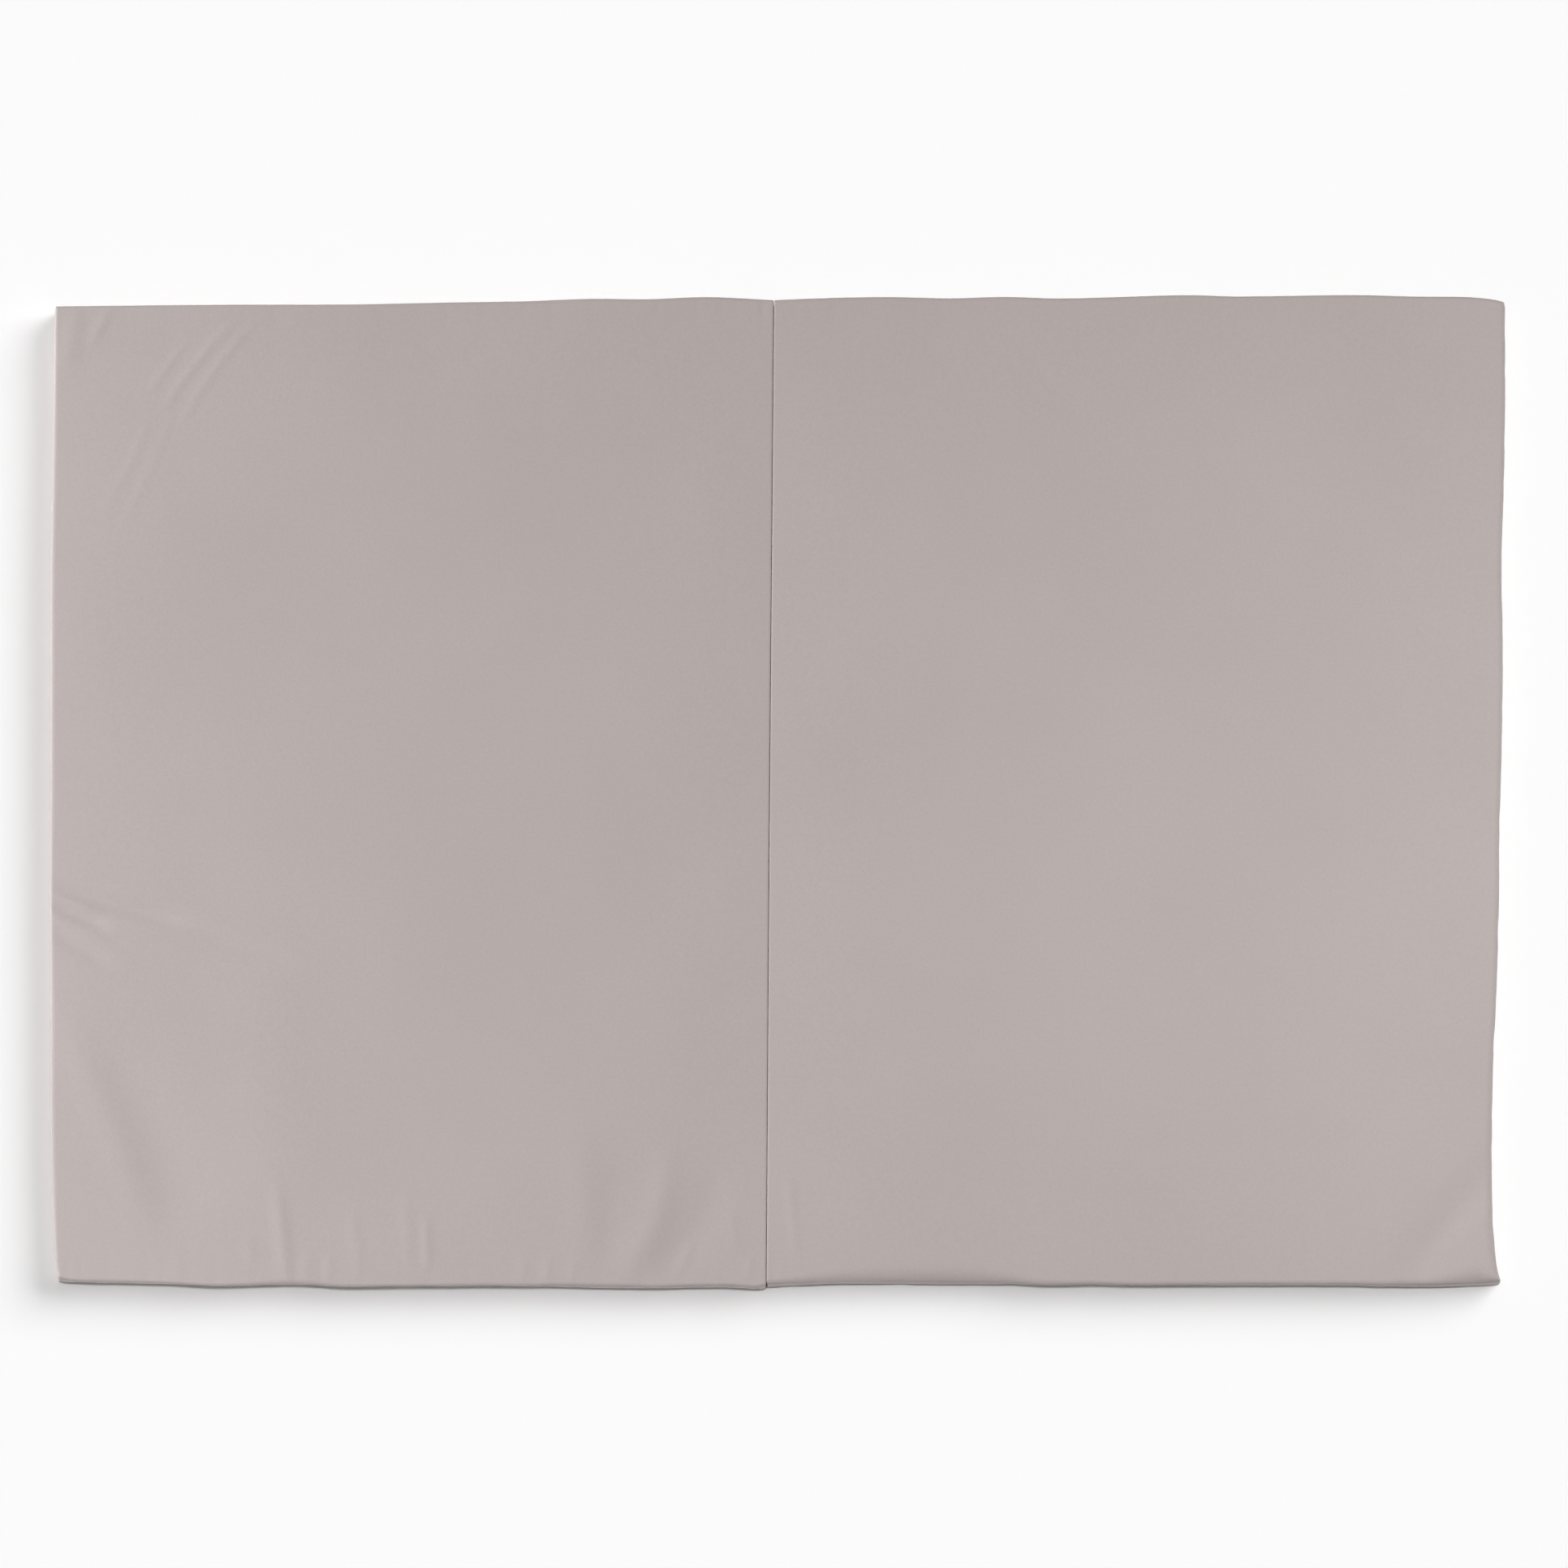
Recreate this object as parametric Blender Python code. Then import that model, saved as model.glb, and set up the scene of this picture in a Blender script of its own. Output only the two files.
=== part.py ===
"""Folding padded mat: two boxed faux leather panels on one sheet, the underside, which is their hinge.

Metres, +Z up. +X runs along the mat and +Y across it, with the origin on the ground under its middle.
"""

import bisect
import math
from collections import namedtuple

import bmesh
import bpy
from mathutils import Vector

MM = 0.001

# Driving sizes
THICKNESS = 31 * MM  # from the ground to the flat of a panel's top, beside its rounded shoulder
CROWN = 2.5 * MM  # how much higher the middle of a panel stands
CROWN_REACH = 60 * MM  # how far from an edge the crown has mostly risen
SHEET = 1.5 * MM  # the underside's thickness
GAP = 0.3 * MM  # between the underside and the panels
FOLD_GAP = 1.8 * MM  # between the two panels at the seams of their tops
FOLD_BOW = 0.9 * MM  # how far the fold line bows to the left at its middle
LEFT_PANEL_JUT = 1.6 * MM  # how much further forward the left panel's corner reaches beside the fold
SEAM_ALLOWANCE = 0.4 * MM  # how far the underside's edge stands out past the seam of the top
SHOULDER_DROP = 0.45  # a shoulder's height as a share of its width
FOLD_SHOULDER = 3.5  # millimetres: a shoulder's width beside the fold
CORNER_POWER = 4  # how squarely two shoulders meet at a corner

# The seam's corners, in millimetres. The mat is a little shorter in front than behind.
BACK_LEFT = Vector((-600.0, 403.0))
BACK_FOLD = Vector((-5.5, 409.0))
BACK_RIGHT = Vector((600.5, 406.0))
FRONT_LEFT = Vector((-591.5, -406.5))
FRONT_FOLD = Vector((-11.5, -411.5))
FRONT_RIGHT = Vector((592.0, -406.5))

# How soft cloth strays from the straight line between two corners, in millimetres: the distance from the
# edge's left or back corner, how far the seam stands out there, and how wide the shoulder above it is.
Stray = namedtuple("Stray", "along out shoulder")
BACK_EDGE_LEFT_PANEL = (
    Stray(0, 0.0, 4),
    Stray(130, 0.2, 6),
    Stray(300, 0.2, 6),
    Stray(390, 0.9, 6),
    Stray(442, 2.4, 6),
    Stray(490, 1.7, 6),
    Stray(540, 3.0, 6),
    Stray(595, 0.0, 5),
)
BACK_EDGE_RIGHT_PANEL = (
    Stray(0, 0.0, 5),
    Stray(70, 3.0, 6),
    Stray(145, 2.2, 6),
    Stray(190, 3.6, 6),
    Stray(240, 2.6, 6),
    Stray(340, 5.8, 7),
    Stray(385, 5.0, 7),
    Stray(480, 6.6, 7),
    Stray(575, 5.0, 6),
    Stray(606, 0.0, 4),
)
LEFT_EDGE = (
    Stray(0, 0.0, 4),
    Stray(45, -0.8, 7),
    Stray(115, 0.6, 9),
    Stray(220, 2.6, 12),
    Stray(330, 3.3, 10),
    Stray(490, 4.2, 8),
    Stray(575, 3.3, 9),
    Stray(680, 4.4, 13),
    Stray(745, 2.6, 11),
    Stray(810, 0.0, 4),
)
RIGHT_EDGE = (
    Stray(0, 0.0, 4),
    Stray(90, 0.4, 9),
    Stray(145, -0.3, 10),
    Stray(225, -2.0, 11),
    Stray(280, -0.7, 11),
    Stray(360, -1.3, 11),
    Stray(495, -2.8, 10),
    Stray(575, -5.2, 10),
    Stray(640, -7.9, 9),
    Stray(738, -8.3, 8),
    Stray(785, -5.8, 6),
    Stray(806, -2.4, 5),
    Stray(813, 0.0, 4),
)
FRONT_EDGE_LEFT_PANEL = (
    Stray(0, 0.0, 4),
    Stray(25, 1.5, 5),
    Stray(145, 2.7, 5),
    Stray(195, 0.9, 8),
    Stray(265, 1.6, 5),
    Stray(400, 0.4, 6),
    Stray(460, 1.0, 7),
    Stray(530, -0.2, 6),
    Stray(580, 0.0, 5),
)
FRONT_EDGE_RIGHT_PANEL = (
    Stray(0, 0.0, 4),
    Stray(28, -1.2, 8),
    Stray(85, -2.3, 11),
    Stray(125, -2.0, 13),
    Stray(175, -0.8, 13),
    Stray(245, 0.6, 9),
    Stray(390, 2.4, 7),
    Stray(535, 4.6, 8),
    Stray(582, 4.2, 11),
    Stray(604, 0.0, 5),
)

# The boxing strip from the seam of the top down: the share of the way down, and how far it stands out.
WallRing = namedtuple("WallRing", "down out")
WALL = (
    WallRing(0.00, 0.0 * MM),
    WallRing(0.07, -1.0 * MM),
    WallRing(0.16, 0.4 * MM),
    WallRing(0.45, 1.2 * MM),
    WallRing(0.80, 0.8 * MM),
    WallRing(0.95, -0.2 * MM),
    WallRing(1.00, -1.2 * MM),
)
FOLD_WALL_SHARE = 0.3  # how much of that a wall beside the fold has, since the two press together

# The main soft creases of the tops, in millimetres from the origin: the two ends of its middle line, how wide
# it spreads each side, and how high it stands, or how deep it lies where that is below zero.
Crease = namedtuple("Crease", "start end spread height")
CREASES = (
    Crease((-558, -249), (-510, -349), 20, -1.3),
    Crease((-497, -254), (-472, -354), 22, 0.8),
    Crease((-114, -316), (-130, -392), 12, 1.0),
    Crease((-74, -332), (-119, -402), 12, -1.1),
    Crease((582, -266), (448, -389), 16, -1.2),
    Crease((572, -354), (528, -399), 12, 0.9),
    Crease((-458, 391), (-528, 326), 13, 0.8),
)

# How finely a panel's top is divided, and how much closer the rows lie near its edges.
ACROSS = 34
ALONG = 42
CROWDING = 0.86

FAUX_LEATHER = (0.457, 0.402, 0.391, 1)
FAUX_LEATHER_ROUGHNESS = 0.62


def faux_leather(name):
    """A matte, coated cloth in warm grey."""
    material = bpy.data.materials.new(name)
    material.use_nodes = True
    shader = material.node_tree.nodes["Principled BSDF"]
    shader.inputs["Base Color"].default_value = FAUX_LEATHER
    shader.inputs["Roughness"].default_value = FAUX_LEATHER_ROUGHNESS
    shader.inputs["Metallic"].default_value = 0.0
    return material


def smooth_line(xs, ys, x):
    """The value at x of a smooth line through the points: a cubic between two, sloped by their neighbours."""

    def slope(i):
        low, high = max(i - 1, 0), min(i + 1, len(xs) - 1)
        return (ys[high] - ys[low]) / (xs[high] - xs[low])

    i = min(max(bisect.bisect_right(xs, x) - 1, 0), len(xs) - 2)
    step = xs[i + 1] - xs[i]
    t = (x - xs[i]) / step
    from_first = (ys[i] * (1 + 2 * t) + slope(i) * step * t) * (1 - t) ** 2
    from_last = (ys[i + 1] * (3 - 2 * t) + slope(i + 1) * step * (t - 1)) * t**2
    return from_first + from_last


class StrayingEdge:
    """One outer edge of a panel, from its left or back corner to the other."""

    def __init__(self, start, end, rows, outward):
        self.start = start
        self.end = end
        self.along = [row.along for row in rows]
        self.stray = [row.out for row in rows]
        self.shoulder = [row.shoulder for row in rows]
        line = (end - start).normalized()
        self.out = Vector((line.y, -line.x))
        if self.out.dot(Vector(outward)) < 0:
            self.out.negate()

    def at(self, share):
        """The seam's place and the shoulder's width at this share of the edge, in millimetres."""
        along = share * self.along[-1]
        stray = self.out * smooth_line(self.along, self.stray, along)
        return self.start.lerp(self.end, share) + stray, smooth_line(self.along, self.shoulder, along)


class FoldEdge:
    """The edge of a panel beside the fold: a bowed line, half of the fold's gap away from its middle."""

    def __init__(self, side, jut):
        self.out = Vector((-side, 0))
        self.aside = side * FOLD_GAP / MM / 2
        self.front = FRONT_FOLD - Vector((0, jut / MM))

    def at(self, share):
        bow = FOLD_BOW / MM * math.sin(math.pi * share)
        return BACK_FOLD.lerp(self.front, share) + Vector((self.aside - bow, 0)), FOLD_SHOULDER


def crowded(share):
    """Moves evenly spaced rows towards both ends, where the shoulders are."""
    return share - CROWDING * math.sin(2 * math.pi * share) / (2 * math.pi)


def shoulder_drop(distance, width):
    """How far a rounded shoulder of this width has fallen, this far inside the seam."""
    left = 1 - min(max(distance / width, 0.0), 1.0)
    return width * SHOULDER_DROP * (1 - math.sqrt(1 - left * left))


def crease_height(place):
    """What the creases add to the top's height here, in millimetres."""
    height = 0.0
    for crease in CREASES:
        start, end = Vector(crease.start), Vector(crease.end)
        middle, half = (start + end) / 2, (end - start) / 2
        along = (place - middle).dot(half) / half.length_squared
        aside = (place - middle - half * along).length / crease.spread
        height += crease.height * math.exp(-(along**4) - aside**2)
    return height


class PanelShape:
    """Maps a panel's own coordinates to places: u left to right, v front to back, and the wall's ring."""

    def __init__(self, front, back, left, right):
        self.front, self.back, self.left, self.right = front, back, left, right

    def plan(self, u, v):
        """The place of (u, v) in plan and the four shoulders' widths: a surface that fits the four edges."""
        front, front_shoulder = self.front.at(u)
        back, back_shoulder = self.back.at(u)
        left, left_shoulder = self.left.at(1 - v)
        right, right_shoulder = self.right.at(1 - v)
        front_line = self.front.at(0)[0].lerp(self.front.at(1)[0], u)
        back_line = self.back.at(0)[0].lerp(self.back.at(1)[0], u)
        place = front.lerp(back, v) + left.lerp(right, u) - front_line.lerp(back_line, v)
        distances = (
            ((place - left).length, left_shoulder),
            ((place - right).length, right_shoulder),
            ((place - front).length, front_shoulder),
            ((place - back).length, back_shoulder),
        )
        return place, distances

    def top(self, u, v):
        """The place of (u, v) on the top, in metres."""
        place, distances = self.plan(u, v)
        drop = sum(shoulder_drop(*pair) ** CORNER_POWER for pair in distances) ** (1 / CORNER_POWER)
        crown = math.prod(1 - math.exp(-distance * MM / CROWN_REACH) for distance, shoulder in distances)
        height = THICKNESS + CROWN * crown + (crease_height(place) - drop) * MM
        return Vector((place.x * MM, place.y * MM, height))

    def outward(self, u, v):
        """The way out of the panel from (u, v) on its seam, with the two ways added at a corner."""
        way = Vector((0.0, 0.0))
        for edge, on_edge in (
            (self.left, u == 0),
            (self.right, u == 1),
            (self.front, v == 0),
            (self.back, v == 1),
        ):
            if on_edge:
                way += edge.out * (FOLD_WALL_SHARE if isinstance(edge, FoldEdge) else 1)
        return way

    def place(self, u, v, ring):
        """Where the point (u, v) of this wall ring lies. Ring 0 is the top and its seam."""
        top = self.top(crowded(u), crowded(v))
        if ring == 0:
            return top
        floor = SHEET + GAP
        row = WALL[ring]
        way = self.outward(u, v)
        return Vector((top.x + way.x * row.out, top.y + way.y * row.out, top.z + (floor - top.z) * row.down))


def panel_shapes():
    """The two panels' shapes by name."""
    fold_of_left = FoldEdge(-1, LEFT_PANEL_JUT)
    fold_of_right = FoldEdge(1, 0)
    left_seam = fold_of_left.at(0)[0], fold_of_left.at(1)[0]
    right_seam = fold_of_right.at(0)[0], fold_of_right.at(1)[0]
    return {
        "panel_left": PanelShape(
            front=StrayingEdge(FRONT_LEFT, left_seam[1], FRONT_EDGE_LEFT_PANEL, (0, -1)),
            back=StrayingEdge(BACK_LEFT, left_seam[0], BACK_EDGE_LEFT_PANEL, (0, 1)),
            left=StrayingEdge(BACK_LEFT, FRONT_LEFT, LEFT_EDGE, (-1, 0)),
            right=fold_of_left,
        ),
        "panel_right": PanelShape(
            front=StrayingEdge(right_seam[1], FRONT_RIGHT, FRONT_EDGE_RIGHT_PANEL, (0, -1)),
            back=StrayingEdge(right_seam[0], BACK_RIGHT, BACK_EDGE_RIGHT_PANEL, (0, 1)),
            left=fold_of_right,
            right=StrayingEdge(BACK_RIGHT, FRONT_RIGHT, RIGHT_EDGE, (1, 0)),
        ),
    }


def make_panel(name, shape, collection):
    """A panel: a grid in (u, v) whose rim is drawn down ring by ring and closed, then bent to its shape."""
    bm = bmesh.new()
    bmesh.ops.create_grid(bm, x_segments=ACROSS, y_segments=ALONG, size=0.5)
    for vert in bm.verts:
        vert.co = (round((vert.co.x + 0.5) * ACROSS) / ACROSS, round((vert.co.y + 0.5) * ALONG) / ALONG, 0)
    rim = [edge for edge in bm.edges if edge.is_boundary]
    for ring in range(1, len(WALL)):
        grown = bmesh.ops.extrude_edge_only(bm, edges=rim)["geom"]
        for vert in grown:
            if isinstance(vert, bmesh.types.BMVert):
                vert.co.z = ring
        rim = [edge for edge in grown if isinstance(edge, bmesh.types.BMEdge) and edge.is_boundary]
    bmesh.ops.holes_fill(bm, edges=rim, sides=0)
    for vert in bm.verts:
        vert.co = shape.place(vert.co.x, vert.co.y, round(vert.co.z))
    bm.normal_update()
    bmesh.ops.recalc_face_normals(bm, faces=bm.faces)
    mesh = bpy.data.meshes.new(name)
    bm.to_mesh(mesh)
    bm.free()
    mesh.shade_smooth()
    mesh.set_sharp_from_angle(angle=math.radians(50))
    mesh.materials.append(faux_leather(f"{name}_faux_leather"))
    collection.objects.link(bpy.data.objects.new(name, mesh))


def sheet_outline(shapes):
    """The underside's outline, counter-clockwise: the panels' outer seams, a seam allowance further out."""
    left, right = shapes["panel_left"], shapes["panel_right"]
    across = [crowded(i / ACROSS) for i in range(ACROSS + 1)]
    along = [crowded(i / ALONG) for i in range(ALONG + 1)]
    runs = (
        (left.front, across),
        (right.front, across),
        (right.right, [1 - share for share in along]),
        (right.back, [1 - share for share in across]),
        (left.back, [1 - share for share in across]),
        (left.left, along),
    )
    outline = []
    for edge, shares in runs:
        for share in shares[:-1]:
            outline.append(edge.at(share)[0] * MM + edge.out * SEAM_ALLOWANCE)
    return outline


def make_base_sheet(shapes, collection):
    """The underside of the cover: one flat sheet under both panels, with the fold across it."""
    curve = bpy.data.curves.new("base_sheet", "CURVE")
    curve.dimensions = "2D"
    curve.fill_mode = "BOTH"
    curve.extrude = SHEET / 2
    outline = sheet_outline(shapes)
    spline = curve.splines.new("POLY")
    spline.points.add(len(outline) - 1)
    for point, place in zip(spline.points, outline):
        point.co = (place.x, place.y, 0, 1)
    spline.use_cyclic_u = True
    curve.materials.append(faux_leather("base_sheet_faux_leather"))
    sheet = bpy.data.objects.new("base_sheet", curve)
    sheet.location.z = SHEET / 2
    collection.objects.link(sheet)


def main():
    for obj in list(bpy.data.objects):
        bpy.data.objects.remove(obj)
    collection = bpy.data.collections.new("folding_padded_mat")
    bpy.context.scene.collection.children.link(collection)
    shapes = panel_shapes()
    for name, shape in shapes.items():
        make_panel(name, shape, collection)
    make_base_sheet(shapes, collection)


main()
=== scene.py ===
"""Scene of the folding padded mat: its faux leather cover, a pale floor, soft light and the camera."""

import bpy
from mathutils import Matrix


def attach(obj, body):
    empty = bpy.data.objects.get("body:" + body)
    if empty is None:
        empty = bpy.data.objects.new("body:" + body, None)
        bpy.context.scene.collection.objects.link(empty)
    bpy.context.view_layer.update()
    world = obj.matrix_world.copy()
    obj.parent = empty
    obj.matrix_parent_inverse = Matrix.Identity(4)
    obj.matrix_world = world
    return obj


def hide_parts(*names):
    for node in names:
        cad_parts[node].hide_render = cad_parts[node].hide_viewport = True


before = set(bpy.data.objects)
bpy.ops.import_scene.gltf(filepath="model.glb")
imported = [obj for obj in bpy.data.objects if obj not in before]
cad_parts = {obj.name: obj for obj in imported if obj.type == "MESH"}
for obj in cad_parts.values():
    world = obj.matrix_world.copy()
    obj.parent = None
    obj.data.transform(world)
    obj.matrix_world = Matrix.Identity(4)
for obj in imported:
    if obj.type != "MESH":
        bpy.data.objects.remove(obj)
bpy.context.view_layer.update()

import copy
import math
from collections import namedtuple

import bpy
import numpy as np
from mathutils import Vector

# The mat's own shape, in millimetres: the height of a top at its seam, how much higher its middle is and how
# far in that takes, the underside's thickness, and the gap between that and the panels.
THICKNESS = 31.0
CROWN = 2.5
CROWN_REACH = 60.0
SHEET = 1.5
GAP = 0.3

# The fold: the gap between the panels, how far its line bends left in the middle, how far the left panel
# juts out past the right one in front, and how wide the shoulders beside the fold are.
FOLD_GAP = 0.32
FOLD_BOW = 0.4
LEFT_PANEL_JUT = 1.6
FOLD_SHOULDER = 1.4

# A shoulder's drop as a share of its width, how sharply two shoulders meet at a corner, and the radius of the
# corner in plan.
SHOULDER_DROP = 0.45
CORNER_POWER = 4
TOP_CORNER = 1.2

# The panels' sizes in plan, which space out their rows of points.
LEFT_PANEL_WIDTH = 590
RIGHT_PANEL_WIDTH = 600
PANEL_DEPTH = 810

# The corners that the edges run between.
BACK_LEFT = (-600.4, 403.7)
BACK_FOLD = (-4.9, 409.0)
BACK_RIGHT = (600.5, 407.2)
FRONT_LEFT = (-592.5, -405.4)
FRONT_FOLD = (-11.1, -409.8)
FRONT_RIGHT = (591.8, -407.6)

# How each edge strays from the straight line between its corners: the distance from the left or back
# corner, how far the seam stands out there, how wide the shoulder above it is, and how far the seam
# overhangs the lower edge of the boxing, where it does.
BACK_EDGE_LEFT_PANEL = (
    (0, 0.0, 3.0),
    (130, 0.2, 3.0),
    (245, -0.5, 3.0),
    (320, 0.3, 3.0),
    (390, 0.9, 3.0),
    (442, 2.4, 3.0),
    (490, 1.7, 3.0),
    (540, 3.0, 3.0),
    (595, 0.0, 3.0),
)
BACK_EDGE_RIGHT_PANEL = (
    (0, 0.0, 3.0),
    (55, 2.2, 3.0),
    (100, 2.8, 3.0),
    (145, 1.9, 3.0),
    (190, 3.2, 3.0),
    (240, 2.1, 3.0),
    (340, 5.1, 3.0),
    (385, 4.2, 3.0),
    (480, 5.6, 3.0),
    (530, 4.6, 3.0),
    (575, 4.2, 3.0),
    (597, 2.2, 3.0),
    (606, 0.0, 3.0),
)
LEFT_EDGE = (
    (0, 0.0, 3.0, 0.0),
    (12, 0.6, 3.0, 1.2),
    (45, 1.0, 3.0, 1.8),
    (115, 2.4, 4.0, 2.0),
    (220, 4.4, 4.0, 2.0),
    (330, 5.0, 4.0, 2.0),
    (405, 5.3, 4.0, 2.0),
    (490, 5.7, 3.0, 2.0),
    (575, 5.6, 4.0, 2.0),
    (680, 5.6, 4.0, 2.0),
    (745, 4.4, 4.0, 1.9),
    (798, 1.8, 3.0, 1.2),
    (810, 0.0, 3.0, 0.0),
)
RIGHT_EDGE = (
    (0, 0.0, 3.0),
    (90, 0.4, 3.0),
    (145, -0.3, 3.0),
    (225, -2.0, 4.0),
    (280, -0.7, 4.0),
    (360, -1.1, 4.0),
    (450, -3.0, 4.0),
    (495, -3.0, 4.0),
    (575, -4.9, 4.0),
    (640, -7.5, 4.5),
    (738, -7.8, 6.0),
    (785, -5.4, 7.0),
    (806, -2.4, 6.0),
    (813, 0.0, 5.0),
)
FRONT_EDGE_LEFT_PANEL = (
    (0, 0.0, 3.0, 0.0),
    (12, 1.9, 2.5, 1.8),
    (28, 2.7, 3.5, 2.8),
    (53, 2.7, 3.0, 2.9),
    (95, 3.5, 2.4, 3.3),
    (124, 4.9, 2.4, 4.3),
    (149, 4.3, 2.4, 4.0),
    (190, 2.7, 4.5, 3.2),
    (211, 3.4, 4.5, 3.8),
    (233, 4.6, 3.5, 4.6),
    (256, 4.3, 3.0, 4.6),
    (276, 3.7, 2.4, 4.4),
    (297, 3.3, 2.4, 4.3),
    (318, 3.1, 2.6, 4.2),
    (342, 2.5, 2.8, 4.0),
    (386, 2.2, 3.0, 3.5),
    (404, 1.7, 3.0, 2.6),
    (428, 1.7, 3.3, 1.7),
    (447, 2.0, 3.3, 1.5),
    (468, 2.0, 3.3, 2.0),
    (490, 2.3, 3.0, 2.7),
    (511, 1.3, 3.0, 1.9),
    (533, 0.5, 2.6, 1.3),
    (554, 0.5, 2.6, 1.5),
    (572, 1.4, 2.6, 1.6),
    (580, 0.0, 3.0, 0.0),
)
FRONT_EDGE_RIGHT_PANEL = (
    (0, 0.0, 4.0, 0.0),
    (28, -0.7, 6.3, 0.8),
    (56, -1.6, 9.5, 1.2),
    (80, -1.8, 11.5, 0.9),
    (104, -1.9, 12.8, 0.6),
    (152, -1.4, 14.5, 0.3),
    (178, -1.1, 13.5, 0.6),
    (201, -0.3, 10.0, 1.7),
    (226, 1.5, 5.5, 3.7),
    (249, 1.6, 4.2, 3.8),
    (269, 1.2, 3.4, 3.3),
    (300, 2.1, 3.0, 4.0),
    (345, 2.1, 3.5, 3.9),
    (376, 2.0, 3.5, 2.8),
    (397, 1.8, 3.5, 2.4),
    (440, 2.0, 3.5, 2.4),
    (483, 2.3, 4.0, 2.5),
    (505, 2.9, 4.2, 2.1),
    (526, 2.6, 5.5, 1.1),
    (547, 2.6, 6.5, 1.0),
    (569, 1.7, 10.5, 0.4),
    (588, 0.7, 15.0, -0.2),
    (604, 0.0, 6.0, 0.0),
)

# The boxing strip from the seam of the top down to the lower seam: the share of the wall's height and the
# millimetres below that, how far the strip stands out, how round it turns the corners, and how strongly shade
# is painted on the place in a seam's groove. Beside the fold the strip stands out by only a small share of
# that.
WallRow = namedtuple("WallRow", "share below out corner crevice")
WALL = (
    WallRow(0.00, 0.50, -0.10, 1.2, 0.2),
    WallRow(0.00, 0.90, -0.45, 1.3, 0.6),
    WallRow(0.00, 1.25, -1.00, 1.3, 1.0),
    WallRow(0.00, 1.60, -1.25, 1.4, 1.0),
    WallRow(0.00, 1.95, -1.00, 1.5, 1.0),
    WallRow(0.00, 2.40, -0.40, 1.7, 0.8),
    WallRow(0.00, 4.00, 0.40, 2.2, 0.1),
    WallRow(0.20, 1.50, 0.75, 2.4, 0.0),
    WallRow(0.45, 0.00, 1.20, 2.7, 0.0),
    WallRow(0.58, 0.00, 1.20, 2.7, 0.0),
    WallRow(0.80, 0.00, 0.85, 2.4, 0.0),
    WallRow(1.00, -4.00, 0.65, 2.2, 0.0),
    WallRow(1.00, -2.80, 0.50, 1.9, 0.1),
    WallRow(1.00, -2.00, 0.25, 1.8, 0.3),
    WallRow(1.00, -1.40, -0.15, 1.7, 0.6),
    WallRow(1.00, -0.80, -0.75, 1.6, 0.9),
    WallRow(1.00, -0.30, -1.10, 1.5, 1.0),
    WallRow(1.00, 0.00, -1.60, 1.5, 1.0),
)
FOLD_WALL_SHARE = 0.06

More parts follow.
